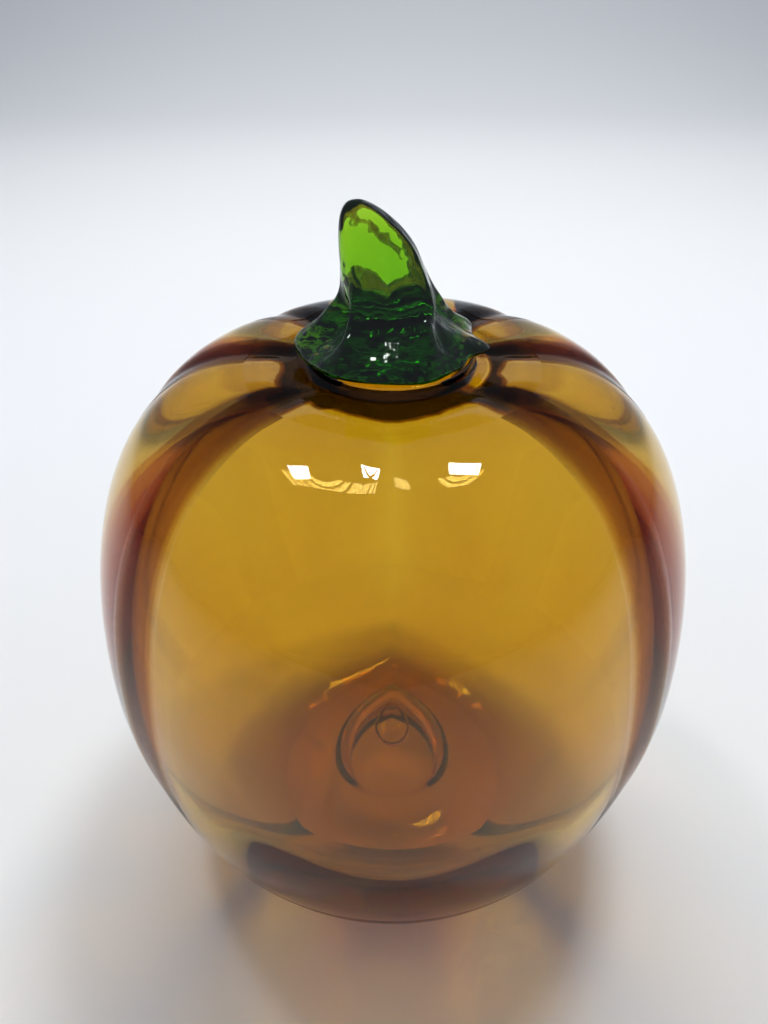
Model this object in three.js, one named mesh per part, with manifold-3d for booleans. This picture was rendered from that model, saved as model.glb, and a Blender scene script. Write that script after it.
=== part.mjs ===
// Blown glass pumpkin: an amber bubble with dark trails in its grooves and a green stem.
// Millimetres, +Z up. The origin is on the table, in the middle of the base, and -Y is the front.
import * as THREE from "three";
import { mergeVertices } from "three/addons/utils/BufferGeometryUtils.js";
import Module from "manifold-3d";

const wasm = await Module();
wasm.setup();

// Outside of the bubble
const BODY_RADIUS = 95;
const WIDEST_HEIGHT = 93;
const SHOULDER_RADIUS = 36.6;
const SHOULDER_HEIGHT = 189.5;
const UPPER_FULLNESS = 0.46;
const SHOULDER_FULLNESS = 0.8;
const LOWER_FULLNESS = 0.5;
const BASE_FULLNESS = 0.51;
const LOBE_DEPTH = 1.6;
const GROOVE_AZIMUTHS = [-139, -99, -51.5, 0, 51.5, 99, 139, 180];
// The front groove runs out on its way down: the levels where it is gone and where it is whole
const FRONT_GROOVE_LEVELS = [1.3, 1.65];

// Wall and inside of the bubble
const BODY_WALL = 6;
const BASE_WALL = 9;
const INNER_EDGE = 1.5;
const NECK_RADIUS = 23;
const NECK_HEIGHT = 3.2;
const TROUGH_DEPTH = 1;
const TROUGH_RADIUS = 27;
const MOUTH_RADIUS = 14;

// Base: the ring it stands on and the kick-up pushed into it
const RING_OUTER_RADIUS = 40;
const RING_WIDTH = 4.5;
const FLOOR_MARGIN = 8;
const KICK_HEIGHT = 27;
const KICK_RADIUS = 16.8;
const KICK_WAIST_HEIGHT = 12;
const KICK_CROWN_WALL = 6;
const KICK_FLARE_HEIGHT = 0.5;

// Dark trails in the grooves, each with the azimuth of its groove
const TRAIL_AZIMUTHS = {
  front_left_trail: -51.5,
  front_right_trail: 51.5,
  left_trail: -99,
  right_trail: 99,
  back_left_trail: -139,
  back_right_trail: 139,
};
const TRAIL_CROWN_WIDTH = 10;
const TRAIL_WIDTH = 14;
const TRAIL_BASE_WIDTH = 16;
const TRAIL_EDGE = 0.6;
const TRAIL_MIDDLE = 1.4;
const TRAIL_PROUD = 0.3;

// Dark wraps round the crown and the base, the latter as far out from the ring as its margins say
const CROWN_WRAP_INNER_RADIUS = 28;
const CROWN_WRAP_OUTER_RADIUS = 38;
const BASE_WRAP_INNER_MARGIN = 3;
const BASE_WRAP_OUTER_MARGIN = 18;
const BASE_WRAP_INNER_RADIUS = RING_OUTER_RADIUS + BASE_WRAP_INNER_MARGIN;
const BASE_WRAP_OUTER_RADIUS = RING_OUTER_RADIUS + BASE_WRAP_OUTER_MARGIN;
const WRAP_THICKNESS = 1.8;
const WRAP_PROUD = 0.4;

// Stem: a horn that leans left, with a splayed foot. Widths and depths are half ones.
const FOOT_OVERHANG = 2;
const FOOT_RADIUS = NECK_RADIUS + FOOT_OVERHANG;
const HORN_WIDTH = 12;
const HORN_DEPTH = 8;
const STEM_HEIGHT = 40.5;
const STEM_LEAN = 9;
const STEM_SET_BACK = 1.4;
const PLUG_DEPTH = 4;
const CUT_HOLLOW = 0.7;

// Toes pinched out of the foot: azimuth, share of the reach, width in degrees
const TOE_REACH = 3;
const TOES = [
  [-150, 0.8, 16],
  [-98, 1.2, 19],
  [-42, 0.95, 16],
  [26, 0.95, 16],
  [122, 0.75, 13],
  [162, 0.75, 15],
];
const LEFT_TOE_AZIMUTH = -95;
const LEFT_TOE_DROOP = 2.4;

// The ridge that runs down the horn's right front and sweeps round to the back of the foot
const RIDGE_REACH = 1.4;
const RIDGE_AZIMUTH = 50;
const RIDGE_SWEEP = 34;
const RIDGE_WIDTH = 10;

// Wad left by the pontil rod
const PONTIL_RADIUS = 7;
const PONTIL_THICKNESS = 1.8;
const PONTIL_SCAR_DEPTH = 0.6;
const PONTIL_DROP = 0.9;

// Room between pieces that are fused on the real thing, and the slope of a seat's edge
const FUSE_GAP = 0.3;
const SEAT_SLOPE = 0.5;

const UPRIGHT = Math.PI / 2;

// A point of the outside as [radius, height] for a level that runs 0 to 1 from the ring up to the
// widest place, 1 to 2 up to the shoulder, and 2 to 3 across the trough to the neck.
const neckTop = SHOULDER_HEIGHT + NECK_HEIGHT;
const troughHeight = SHOULDER_HEIGHT - TROUGH_DEPTH;

const outsideParts = [
  new THREE.CubicBezierCurve(
    new THREE.Vector2(RING_OUTER_RADIUS, 0),
    new THREE.Vector2(RING_OUTER_RADIUS + BASE_FULLNESS * (BODY_RADIUS - RING_OUTER_RADIUS), 0),
    new THREE.Vector2(BODY_RADIUS, WIDEST_HEIGHT * (1 - LOWER_FULLNESS)),
    new THREE.Vector2(BODY_RADIUS, WIDEST_HEIGHT),
  ),
  new THREE.CubicBezierCurve(
    new THREE.Vector2(BODY_RADIUS, WIDEST_HEIGHT),
    new THREE.Vector2(BODY_RADIUS, WIDEST_HEIGHT + UPPER_FULLNESS * (SHOULDER_HEIGHT - WIDEST_HEIGHT)),
    new THREE.Vector2(
      SHOULDER_RADIUS + SHOULDER_FULLNESS * (BODY_RADIUS - SHOULDER_RADIUS),
      SHOULDER_HEIGHT,
    ),
    new THREE.Vector2(SHOULDER_RADIUS, SHOULDER_HEIGHT),
  ),
  new THREE.CubicBezierCurve(
    new THREE.Vector2(SHOULDER_RADIUS, SHOULDER_HEIGHT),
    new THREE.Vector2((SHOULDER_RADIUS + TROUGH_RADIUS) / 2, SHOULDER_HEIGHT),
    new THREE.Vector2((SHOULDER_RADIUS + TROUGH_RADIUS) / 2, troughHeight),
    new THREE.Vector2(TROUGH_RADIUS, troughHeight),
  ),
];

function outsideAt(level) {
  const part = Math.min(Math.floor(level), 2);
  return outsideParts[part].getPoint(level - part);
}

// The outward normal of the outside at a level.
function normalAt(level) {
  const part = Math.min(Math.floor(level), 2);
  const along = outsideParts[part].getTangent(level - part);
  return new THREE.Vector2(along.y, -along.x);
}

// The level at which one part of the outside has a given radius.
function levelOfRadius(part, radius) {
  let low = 0;
  let high = 1;
  const growing = outsideParts[part].getPoint(1).x > outsideParts[part].getPoint(0).x;
  for (let step = 0; step < 40; step++) {
    const middle = (low + high) / 2;
    const beyond = outsideParts[part].getPoint(middle).x > radius;
    if (beyond === growing) high = middle;
    else low = middle;
  }
  return part + (low + high) / 2;
}

const crownWrapOuter = levelOfRadius(1, CROWN_WRAP_OUTER_RADIUS);
const crownWrapInner = levelOfRadius(2, CROWN_WRAP_INNER_RADIUS);
const baseWrapInner = levelOfRadius(0, BASE_WRAP_INNER_RADIUS);
const baseWrapOuter = levelOfRadius(0, BASE_WRAP_OUTER_RADIUS);

// Half the width of a trail at a level: widest at the base, narrowest at the crown.
function trailHalfWidth(level) {
  const width =
    level < 1
      ? THREE.MathUtils.lerp(TRAIL_BASE_WIDTH, TRAIL_WIDTH, level)
      : THREE.MathUtils.lerp(TRAIL_WIDTH, TRAIL_CROWN_WIDTH, Math.min(level - 1, 1));
  return width / 2;
}

// How far the lobes have swelled at a level: nothing at the flat ring and at the neck.
function lobeShare(level) {
  return Math.sin((Math.PI * Math.min(level, 3)) / 3) ** 0.6;
}

// How far a place on the outside stands in from the smooth bubble: deepest in a groove. Low down
// the two front lobes are one, so the groove between them is there only near the crown.
function lobeInset(level, azimuth) {
  let swell = Math.sin(Math.PI * sectorShareOf(azimuth));
  const frontHalf = TRAIL_AZIMUTHS.front_right_trail;
  const turned = THREE.MathUtils.euclideanModulo(azimuth + 180, 360) - 180;
  if (Math.abs(turned) < frontHalf) {
    const oneLobe = Math.cos((UPRIGHT * turned) / frontHalf);
    swell = THREE.MathUtils.lerp(oneLobe, swell, THREE.MathUtils.smoothstep(level, ...FRONT_GROOVE_LEVELS));
  }
  return LOBE_DEPTH * lobeShare(level) * (1 - swell) ** 2;
}

// The wall, thickest at the ring and even from the widest place up
function wallAt(level) {
  return THREE.MathUtils.lerp(BASE_WALL, BODY_WALL, Math.min(level, 1));
}

// How thick a trail or the seat cut for it is, at a share of its half width.
function trailThickness(share) {
  return THREE.MathUtils.lerp(TRAIL_MIDDLE, TRAIL_EDGE, share * share);
}

// Columns of the bubble: in each groove its edges and middle, and on each lobe even steps.
const LOBE_STEPS = 4;
const trailedGrooves = new Set(Object.values(TRAIL_AZIMUTHS));

function columnsAt(level) {
  const radius = outsideAt(level).x;
  const columns = [];
  GROOVE_AZIMUTHS.forEach((azimuth, index) => {
    const next = GROOVE_AZIMUTHS[(index + 1) % GROOVE_AZIMUTHS.length];
    const sector = (next - azimuth + 360) % 360;
    const degreesPerMm = 180 / (Math.PI * radius);
    const half = trailHalfWidth(level) + FUSE_GAP;
    const shares = trailedGrooves.has(azimuth) ? [0, 0.5, 1] : [0];
    const nextTrailed = trailedGrooves.has(next);
    for (const share of shares) {
      columns.push({ azimuth: azimuth + share * half * degreesPerMm, share, trailed: shares.length > 1 });
    }
    const start = shares.length > 1 ? (half + SEAT_SLOPE) * degreesPerMm : 0;
    const end = sector - (nextTrailed ? (half + SEAT_SLOPE) * degreesPerMm : 0);
    for (let step = shares.length > 1 ? 0 : 1; step <= LOBE_STEPS; step++) {
      if (step === LOBE_STEPS && !nextTrailed) continue;
      const at = THREE.MathUtils.lerp(start, end, step / LOBE_STEPS);
      columns.push({ azimuth: azimuth + at, share: Infinity, trailed: false });
    }
    if (nextTrailed) {
      for (const share of [1, 0.5]) {
        columns.push({ azimuth: next - share * half * degreesPerMm, share, trailed: true });
      }
    }
  });
  return columns;
}

// Where an azimuth lies between the two grooves next to it, as a share of that lobe.
function sectorShareOf(azimuth) {
  const turned = ((((azimuth - GROOVE_AZIMUTHS[0]) % 360) + 360) % 360) + GROOVE_AZIMUTHS[0];
  let index = GROOVE_AZIMUTHS.length - 1;
  while (turned < GROOVE_AZIMUTHS[index] - 1e-9) index--;
  const from = GROOVE_AZIMUTHS[index];
  const to = index + 1 < GROOVE_AZIMUTHS.length ? GROOVE_AZIMUTHS[index + 1] : GROOVE_AZIMUTHS[0] + 360;
  return (turned - from) / (to - from);
}

// A point of the lobed outside, moved out along the bubble's normal by an offset.
function skinPoint(level, azimuth, offset) {
  const place = outsideAt(level);
  const normal = normalAt(level);
  const out = offset - lobeInset(level, azimuth);
  return atAzimuth(place.x + normal.x * out, place.y + normal.y * out, azimuth);
}

function atAzimuth(radius, height, azimuth) {
  const turn = THREE.MathUtils.degToRad(azimuth);
  return new THREE.Vector3(radius * Math.sin(turn), -radius * Math.cos(turn), height);
}

// A closed mesh from rings of points, all alike in number, with a point or a flat fan at each end.
function loft(rings, startPoint, endPoint) {
  const points = [];
  const faces = [];
  const count = rings[0].length;
  for (const ring of rings) points.push(...ring);
  for (let row = 0; row + 1 < rings.length; row++) {
    for (let column = 0; column < count; column++) {
      const a = row * count + column;
      const b = row * count + ((column + 1) % count);
      faces.push(a, b, b + count, a, b + count, a + count);
    }
  }
  if (startPoint) {
    points.push(startPoint);
    for (let column = 0; column < count; column++) {
      faces.push(points.length - 1, (column + 1) % count, column);
    }
  }
  if (endPoint) {
    points.push(endPoint);
    const last = (rings.length - 1) * count;
    for (let column = 0; column < count; column++) {
      faces.push(points.length - 1, last + column, last + ((column + 1) % count));
    }
  }
  return geometryOf(points, faces);
}

// The same for rings that close on themselves as a band, such as a wrap round the crown.
function closedBand(rings) {
  const points = rings.flat();
  const faces = [];
  const count = rings[0].length;
  rings.forEach((ring, row) => {
    const nextRow = ((row + 1) % rings.length) * count;
    for (let column = 0; column < count; column++) {
      const next = (column + 1) % count;
      faces.push(row * count + column, row * count + next, nextRow + next);
      faces.push(row * count + column, nextRow + next, nextRow + column);
    }
  });
  return geometryOf(points, faces);
}

function geometryOf(points, faces) {
  const geometry = new THREE.BufferGeometry();
  geometry.setFromPoints(points);
  geometry.setIndex(faces);
  geometry.computeVertexNormals();
  return geometry;
}

function solidOf(geometry) {
  const bare = geometry.clone();
  bare.deleteAttribute("normal");
  bare.deleteAttribute("uv");
  const merged = mergeVertices(bare, 1e-4);
  return new wasm.Manifold(
    new wasm.Mesh({
      numProp: 3,
      vertProperties: merged.getAttribute("position").array,
      triVerts: new Uint32Array(merged.index.array),
    }),
  );
}

function geometryOfSolid(solid) {
  const mesh = solid.getMesh();
  const geometry = new THREE.BufferGeometry();
  geometry.setAttribute("position", new THREE.BufferAttribute(mesh.vertProperties, 3));
  geometry.setIndex(new THREE.BufferAttribute(mesh.triVerts, 1));
  geometry.computeVertexNormals();
  return geometry;
}

function glassMesh(name, geometry, color) {
  const material = new THREE.MeshStandardMaterial({ color, roughness: 0.05, metalness: 0 });
  const mesh = new THREE.Mesh(geometry, material);
  mesh.name = name;
  return mesh;
}

// Body

// The levels where the outside of the bubble has a ring of points.
function bodyLevels() {
  const levels = [0];
  const slope = (part, radius, way) => levelOfRadius(part, radius + way * SEAT_SLOPE);
  levels.push(slope(0, BASE_WRAP_INNER_RADIUS - FUSE_GAP, -1));
  levels.push(slope(0, BASE_WRAP_INNER_RADIUS - FUSE_GAP, 0));
  levels.push((baseWrapInner + baseWrapOuter) / 2, baseWrapOuter);
  const steps = 16;
  for (let step = 1; step < steps; step++) {
    levels.push(THREE.MathUtils.lerp(baseWrapOuter, crownWrapOuter, step / steps));
  }
  levels.push(crownWrapOuter, (crownWrapOuter + crownWrapInner) / 2);
  levels.push(slope(2, CROWN_WRAP_INNER_RADIUS - FUSE_GAP, 0));
  levels.push(slope(2, CROWN_WRAP_INNER_RADIUS - FUSE_GAP, -1));
  return levels;
}

function seatDepth(level, column) {
  const wraps = [
    [levelOfRadius(0, BASE_WRAP_INNER_RADIUS - FUSE_GAP), baseWrapOuter],
    [crownWrapOuter, levelOfRadius(2, CROWN_WRAP_INNER_RADIUS - FUSE_GAP)],
  ];
  const underWrap = wraps.some(([low, high]) => level > low - 1e-6 && level < high + 1e-6);
  if (underWrap) return WRAP_THICKNESS - WRAP_PROUD + FUSE_GAP;
  const underTrail = column.trailed && level > wraps[0][1] && level < wraps[1][0];
  return underTrail ? trailThickness(column.share) + FUSE_GAP : 0;
}

function makeBody() {
  const levels = bodyLevels();
  const outer = levels.map((level) =>
    columnsAt(level).map((column) => skinPoint(level, column.azimuth, -seatDepth(level, column))),
  );
  const ringAt = (radius, height) =>
    columnsAt(1).map((column) => atAzimuth(radius, height, column.azimuth));
  const ringInner = RING_OUTER_RADIUS - RING_WIDTH;

  // Under the base: from the middle of the kick-up's ceiling down its side and out to the ring.
  const dome = (height, radius, waist, steps) => {
    const curve = new THREE.CubicBezierCurve(
      new THREE.Vector2(0, height),
      new THREE.Vector2(radius * 0.8, height),
      new THREE.Vector2(radius, THREE.MathUtils.lerp(waist, height, 0.6)),
      new THREE.Vector2(radius, waist),
    );
    return curve.getPoints(steps).slice(1);
  };
  const flare = new THREE.CubicBezierCurve(
    new THREE.Vector2(KICK_RADIUS, KICK_WAIST_HEIGHT),
    new THREE.Vector2(KICK_RADIUS, KICK_WAIST_HEIGHT * 0.4),
    new THREE.Vector2(THREE.MathUtils.lerp(KICK_RADIUS, ringInner, 0.5), KICK_FLARE_HEIGHT),
    new THREE.Vector2(ringInner, 0),
  );
  const under = [...dome(KICK_HEIGHT, KICK_RADIUS, KICK_WAIST_HEIGHT, 5), ...flare.getPoints(5).slice(1)];

  // Inside: from the lip of the mouth down the wall, over the floor and up round the kick-up.
  const inner = [];
  inner.push(new THREE.Vector2(MOUTH_RADIUS, neckTop));
  inner.push(new THREE.Vector2(MOUTH_RADIUS, troughHeight - BODY_WALL + INNER_EDGE));
  inner.push(new THREE.Vector2(MOUTH_RADIUS + 2 * INNER_EDGE, troughHeight - BODY_WALL));
  const insideSteps = 16;
  const top = 2;
  for (let step = 0; step <= insideSteps; step++) {
    const bottom = levelOfRadius(0, RING_OUTER_RADIUS + FLOOR_MARGIN);
    const level = THREE.MathUtils.lerp(top, bottom, step / insideSteps);
    inner.push(outsideAt(level).addScaledVector(normalAt(level), -wallAt(level)));
  }
  const insideFlare = new THREE.CubicBezierCurve(
    new THREE.Vector2(RING_OUTER_RADIUS - RING_WIDTH / 2, BASE_WALL),
    new THREE.Vector2(KICK_RADIUS + BODY_WALL + INNER_EDGE, BASE_WALL),
    new THREE.Vector2(KICK_RADIUS + BODY_WALL, KICK_WAIST_HEIGHT * 0.7),
    new THREE.Vector2(KICK_RADIUS + BODY_WALL, KICK_WAIST_HEIGHT + 2),
  );
  inner.push(...insideFlare.getPoints(4));
  const ceiling = KICK_HEIGHT + KICK_CROWN_WALL;
  inner.push(...dome(ceiling, KICK_RADIUS + BODY_WALL, KICK_WAIST_HEIGHT + 2, 5).reverse().slice(1));

  const rings = [
    ...under.map((place) => ringAt(place.x, place.y)),
    ...outer,
    ringAt(NECK_RADIUS, (troughHeight + neckTop) / 2),
    ringAt(NECK_RADIUS, neckTop),
    ...inner.map((place) => ringAt(place.x, place.y)),
  ];
  const middle = (height) => new THREE.Vector3(0, 0, height);
  const geometry = loft(rings, middle(KICK_HEIGHT), middle(ceiling));
  return glassMesh("amber_body", geometry, 0xb58d2d);
}

// Trails

function makeTrail(name, azimuth) {
  const from = levelOfRadius(0, BASE_WRAP_OUTER_RADIUS + FUSE_GAP);
  const to = levelOfRadius(1, CROWN_WRAP_OUTER_RADIUS + FUSE_GAP);
  const levels = [from, ...bodyLevels().filter((level) => level > from && level < to), to];
  const shares = [-1, -0.5, 0, 0.5, 1];
  const rings = levels.map((level) => {
    const degreesPerMm = 180 / (Math.PI * outsideAt(level).x);
    const half = trailHalfWidth(level);
    const across = (share, offset) => skinPoint(level, azimuth + share * half * degreesPerMm, offset);
    const face = shares.map((share) => across(share, TRAIL_PROUD * (1 - share * share)));
    const back = shares.map((share) => across(share, -trailThickness(share)));
    return [...face, ...back.reverse()];
  });
  const centreOf = (ring) =>
    ring.reduce((sum, point) => sum.add(point), new THREE.Vector3()).divideScalar(ring.length);
  const geometry = loft(rings, centreOf(rings[0]), centreOf(rings[rings.length - 1]));
  return glassMesh(name, geometry, 0x5a3424);
}

// Wraps

function makeWrap(name, fromLevel, toLevel) {
  const steps = 3;
  const rings = [];
  const along = (step) => THREE.MathUtils.lerp(fromLevel, toLevel, step / steps);
  const ringAt = (level, offset) =>
    columnsAt(level).map((column) => skinPoint(level, column.azimuth, offset));
  for (let step = 0; step <= steps; step++) {
    const crown = Math.sin((Math.PI * step) / steps);
    rings.push(ringAt(along(step), WRAP_PROUD * crown));
  }
  for (let step = steps; step >= 0; step--) {
    rings.push(ringAt(along(step), WRAP_PROUD - WRAP_THICKNESS));
  }
  return glassMesh(name, closedBand(rings), 0x35291d);
}

// Stem

// How far the stem's folds stand out of a plain section at a height and an azimuth.
function foldReach(height, azimuth, toes) {
  const apart = (other) => Math.abs(THREE.MathUtils.euclideanModulo(azimuth - other + 180, 360) - 180);
  const bump = (at, reach, width) => reach * Math.exp(-((apart(at) / width) ** 2));
  const meanToe = 0.3;
  const toe = Math.max(...TOES.map(([at, reach, width]) => bump(at, reach, width))) - meanToe;
  const low = THREE.MathUtils.clamp(1 - height / (STEM_HEIGHT * 0.3), 0, 1);
  const fades = THREE.MathUtils.clamp((STEM_HEIGHT - height) / (STEM_HEIGHT * 0.2), 0, 1);
  const ridge = bump(RIDGE_AZIMUTH + RIDGE_SWEEP * low, RIDGE_REACH * (1 + low) * fades, RIDGE_WIDTH);
  return TOE_REACH * toes * toe + ridge;
}

function makeStem() {
  const foot = neckTop + FUSE_GAP;
  const around = 36;
  // Each section's height and place, its half width and depth, how much of the toes it shows,
  // and how square it is
  const sections = [
    [0, 0, NECK_RADIUS + FUSE_GAP, NECK_RADIUS + FUSE_GAP, 0, 0],
    [0.015, 0, FOOT_RADIUS * 0.98, FOOT_RADIUS * 0.98, 0.3, 0],
    [0.04, 0, FOOT_RADIUS, FOOT_RADIUS * 0.98, 0.5, 0],
    [0.08, 0, FOOT_RADIUS * 0.96, FOOT_RADIUS * 0.93, 0.9, 0],
    [0.125, -0.02, FOOT_RADIUS * 0.86, FOOT_RADIUS * 0.8, 1.4, 0],
    [0.18, -0.04, FOOT_RADIUS * 0.73, FOOT_RADIUS * 0.65, 1.8, 0],
    [0.24, -0.05, FOOT_RADIUS * 0.63, FOOT_RADIUS * 0.53, 1.8, 0.1],
    [0.31, -0.04, HORN_WIDTH * 1.17, HORN_DEPTH * 1.32, 1.4, 0.3],
    [0.38, 0.01, HORN_WIDTH * 1.1, HORN_DEPTH * 1.1, 0.9, 0.6],
    [0.46, 0.13, HORN_WIDTH * 1.02, HORN_DEPTH * 0.97, 0.4, 0.9],
    [0.545, 0.25, HORN_WIDTH * 0.94, HORN_DEPTH * 0.89, 0.15, 1],
    [0.63, 0.35, HORN_WIDTH * 0.89, HORN_DEPTH * 0.8, 0, 1],
    [0.72, 0.44, HORN_WIDTH * 0.83, HORN_DEPTH * 0.71, 0, 1],
    [0.79, 0.57, HORN_WIDTH * 0.73, HORN_DEPTH * 0.64, 0, 1],
    [0.855, 0.7, HORN_WIDTH * 0.62, HORN_DEPTH * 0.56, 0, 1],
    [0.91, 0.82, HORN_WIDTH * 0.49, HORN_DEPTH * 0.49, 0, 0.9],
    [0.955, 0.92, HORN_WIDTH * 0.36, HORN_DEPTH * 0.39, 0, 0.7],
    [0.985, 0.98, HORN_WIDTH * 0.22, HORN_DEPTH * 0.26, 0, 0.4],
  ];
  const rings = sections.map(([rise, lean, halfWidth, halfDepth, toes, square]) => {
    const ring = [];
    const height = rise * STEM_HEIGHT;
    const power = 2 + 1.1 * square;
    const droops = rise > 0 ? THREE.MathUtils.clamp(1 - height / (STEM_HEIGHT * 0.1), 0, 1) : 0;
    for (let step = 0; step < around; step++) {
      const azimuth = (360 * step) / around;
      const turn = THREE.MathUtils.degToRad(azimuth);
      const round = (Math.abs(Math.sin(turn)) ** power + Math.abs(Math.cos(turn)) ** power) ** (-1 / power);
      const folds = rise > 0 ? foldReach(height, azimuth, toes) : 0;
      const reach = round + folds / halfWidth;
      const facing = Math.max(Math.cos(turn), 0);
      const front = halfDepth * reach * Math.cos(turn) - CUT_HOLLOW * square * facing ** 3;
      const toeTurn = THREE.MathUtils.degToRad(azimuth - LEFT_TOE_AZIMUTH);
      const slump = LEFT_TOE_DROOP * droops * Math.max(Math.cos(toeTurn), 0) ** 4;
      const x = -STEM_LEAN * lean + halfWidth * reach * Math.sin(turn);
      const y = STEM_SET_BACK * square - front;
      ring.push(new THREE.Vector3(x, y, foot + height - slump));
    }
    return ring;
  });
  const tip = new THREE.Vector3(-STEM_LEAN, STEM_SET_BACK, foot + STEM_HEIGHT);
  const blank = loft(rings, new THREE.Vector3(0, 0, foot), tip);

  // The plug that slumped into the mouth of the bubble
  const plugRadius = MOUTH_RADIUS - FUSE_GAP;
  const overlap = FUSE_GAP * 3;
  const plug = new THREE.LatheGeometry(
    [
      new THREE.Vector2(0, -PLUG_DEPTH),
      new THREE.Vector2(plugRadius * 0.7, -PLUG_DEPTH * 0.8),
      new THREE.Vector2(plugRadius, 0),
      new THREE.Vector2(plugRadius, overlap),
      new THREE.Vector2(0, overlap),
    ],
    32,
  );
  plug.rotateX(UPRIGHT);
  plug.translate(0, 0, foot);
  const solid = solidOf(blank).add(solidOf(plug));
  return glassMesh("stem", geometryOfSolid(solid), 0x2c5a0c);
}

// Pontil wad

function makePontilSeal() {
  const top = KICK_HEIGHT - FUSE_GAP - PONTIL_DROP;
  const bottom = top - PONTIL_THICKNESS;
  const profile = [
    new THREE.Vector2(0, bottom + PONTIL_SCAR_DEPTH),
    new THREE.Vector2(PONTIL_RADIUS * 0.5, bottom + PONTIL_SCAR_DEPTH * 0.6),
    new THREE.Vector2(PONTIL_RADIUS * 0.85, bottom),
    new THREE.Vector2(PONTIL_RADIUS, bottom + PONTIL_THICKNESS * 0.35),
    new THREE.Vector2(PONTIL_RADIUS * 0.9, top - PONTIL_THICKNESS * 0.25),
    new THREE.Vector2(PONTIL_RADIUS * 0.5, top),
    new THREE.Vector2(0, top),
  ];
  const geometry = new THREE.LatheGeometry(profile, 24);
  geometry.rotateX(UPRIGHT);
  return glassMesh("pontil_seal", geometry, 0x8a5a10);
}

const pumpkin = new THREE.Group();
pumpkin.add(makeBody());
for (const [name, azimuth] of Object.entries(TRAIL_AZIMUTHS)) pumpkin.add(makeTrail(name, azimuth));
pumpkin.add(makeWrap("crown_wrap", levelOfRadius(1, CROWN_WRAP_OUTER_RADIUS - FUSE_GAP), crownWrapInner));
pumpkin.add(makeWrap("base_wrap", baseWrapInner, levelOfRadius(0, BASE_WRAP_OUTER_RADIUS - FUSE_GAP)));
pumpkin.add(makeStem());
pumpkin.add(makePontilSeal());

export default pumpkin;
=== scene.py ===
from math import atan2, cos, degrees, exp, hypot, pi, radians, sin

import bmesh
import bpy
from mathutils import Matrix, Vector


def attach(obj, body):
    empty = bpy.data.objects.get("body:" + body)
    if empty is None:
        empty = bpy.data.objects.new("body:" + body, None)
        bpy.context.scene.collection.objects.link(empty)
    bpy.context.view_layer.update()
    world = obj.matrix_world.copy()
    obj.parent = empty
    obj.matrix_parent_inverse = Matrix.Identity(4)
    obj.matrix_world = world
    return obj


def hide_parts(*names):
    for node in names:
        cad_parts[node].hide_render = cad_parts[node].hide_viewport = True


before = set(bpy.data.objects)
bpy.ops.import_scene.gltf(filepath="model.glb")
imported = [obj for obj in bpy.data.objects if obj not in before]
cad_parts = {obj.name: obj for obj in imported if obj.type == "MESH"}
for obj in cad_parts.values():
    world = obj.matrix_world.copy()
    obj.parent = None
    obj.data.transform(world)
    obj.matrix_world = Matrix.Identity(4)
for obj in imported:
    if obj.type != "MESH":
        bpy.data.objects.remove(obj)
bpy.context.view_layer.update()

# Amber bubble: the hollow body of clear amber glass, blown by hand with no mould. Its eight lobes
# are pressed in hot and the kick-up is pushed into its base while soft. The wall is thin in the
# grooves and thick in the middle of each lobe, and the blowpipe's mouth stays open under the stem.
bubble_radius = .0947
bubble_widest_height = .093
shoulder_radius = .0366
shoulder_height = .1895
lower_fullness = .51
belly_drop = .5
upper_fullness = .46
shoulder_fullness = .8
trough_radius = .027
trough_depth = .001
trough_level = 3
neck_radius = .0230
neck_height = .0032
neck_foot_flare = .0006
neck_lip_round = .0008
mouth_radius = .014
ring_radius = .040
ring_width = .0045
kick_height = .027
kick_radius = .0168
kick_waist_height = .012
kick_dome = .5
kick_fullness = .6
kick_flare_bend = .4
kick_flare_lift = .0005
kick_side_wall = .0055
kick_crown_wall = .006
floor_margin = .004
floor_run_in = .003
floor_waist_bend = .7
floor_waist_lift = .002
groove_azimuths = [-139, -99, -51.5, 0, 51.5, 99, 139, 180]
lobe_depth = .0016
rib_fade = .6
groove_roundness = .22
front_lobe_half = 51.5
front_groove_level = 1.3
front_groove_run = .35
front_softness = .4
front_softness_width = 24
front_dent = .30
groove_wall = .0048
base_wall = .0072
lobe_swell = .0018
inner_groove = .0012
heel_extra = .0070
heel_reach = 30
heel_steepness = 6
heel_middle = .60
heel_middle_width = 26
inside_top_level = 2.2
inside_reach = .008
columns = 320
side_steps = 100
inside_steps = 60
kick_steps = 14
floor_steps = 12
neck_steps = 8
slope_step = .002
halvings = 30

side_curves = [
    [(ring_radius, 0),
     (ring_radius + lower_fullness * (bubble_radius - ring_radius), 0),
     (bubble_radius, bubble_widest_height * belly_drop),
     (bubble_radius, bubble_widest_height)],
    [(bubble_radius, bubble_widest_height),
     (bubble_radius, bubble_widest_height + upper_fullness * (shoulder_height - bubble_widest_height)),
     (shoulder_radius + shoulder_fullness * (bubble_radius - shoulder_radius), shoulder_height),
     (shoulder_radius, shoulder_height)],
    [(shoulder_radius, shoulder_height),
     ((shoulder_radius + trough_radius) / 2, shoulder_height),
     ((shoulder_radius + trough_radius) / 2, shoulder_height - trough_depth),
     (trough_radius, shoulder_height - trough_depth)],
]


def held(value):
    """A share, held between 0 and 1."""
    return min(max(value, 0), 1)


def round_point(radius, turn, height):
    """A point at a radius and a height, turned in radians from the front to the right."""
    return Vector((radius * sin(turn), -radius * cos(turn), height))


def curve_point(knots, share):
    """A point of the curve that four knots bend, at a share of its run."""
    a, b, c, d = (Vector(knot) for knot in knots)
    rest = 1 - share
    return a * rest ** 3 + b * 3 * rest ** 2 * share + c * 3 * rest * share ** 2 + d * share ** 3


def side_place(level):
    """Radius and height of the smooth side, at a level from 0 to 3.

    Level 0 is at the rest ring, 1 at the widest, 2 at the shoulder and 3 in the trough."""
    part = min(int(level), 2)
    return curve_point(side_curves[part], level - part)


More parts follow.
